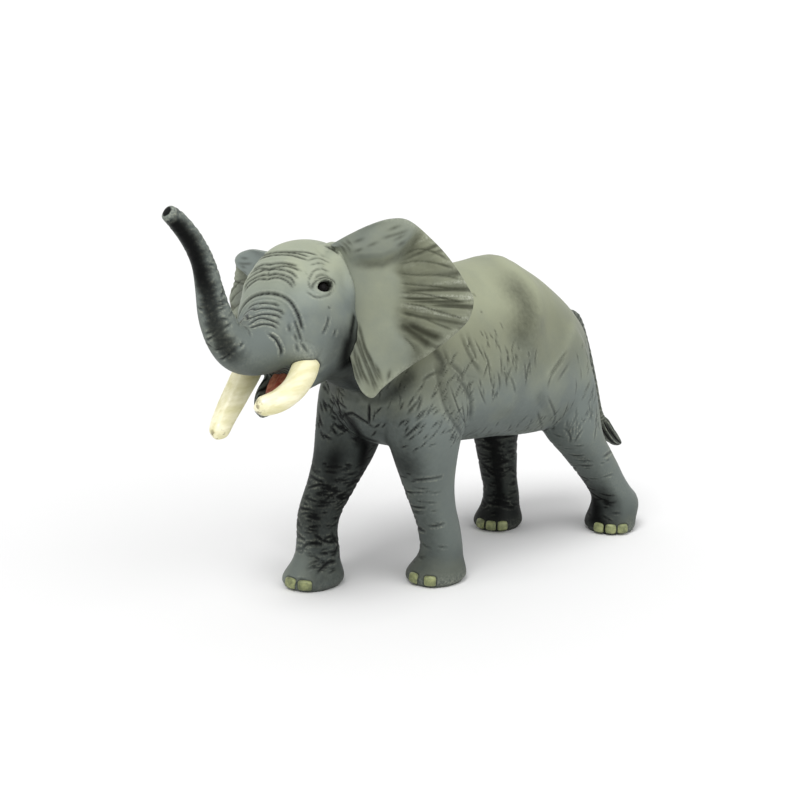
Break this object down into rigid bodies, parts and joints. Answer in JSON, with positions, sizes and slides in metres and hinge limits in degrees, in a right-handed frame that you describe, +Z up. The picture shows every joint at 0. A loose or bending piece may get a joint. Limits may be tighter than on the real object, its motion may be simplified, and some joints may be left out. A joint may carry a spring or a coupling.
{
  "type": "toy elephant figure",
  "caption": "Toy African elephant walking with its trunk raised, mouth open, ears spread and curved tusks.",
  "frame": {"origin": "on the ground, under the middle of the whole figure", "axes": "+Z up, the animal faces -Y, its left side is +X"},
  "size_m": [0.0812, 0.202, 0.1289],
  "materials": {
    "skin": "satin painted vinyl, olive grey with a dark wash in the wrinkles",
    "tusk": "satin cream paint",
    "mouth": "satin dark red paint",
    "eye": "gloss black"
  },
  "bodies": {
    "root": {"torso_left_shell": "skin", "torso_right_shell": "skin", "front_left_leg": "skin", "front_right_leg": "skin", "rear_left_leg": "skin", "rear_right_leg": "skin", "head": "skin", "trunk": "skin", "lower_jaw": "skin", "tongue": "mouth", "tusk_left": "tusk", "tusk_right": "tusk", "ear_left": "skin", "ear_right": "skin", "eye_left": "eye", "eye_right": "eye", "tail": "skin"}
  },
  "joints": []
}
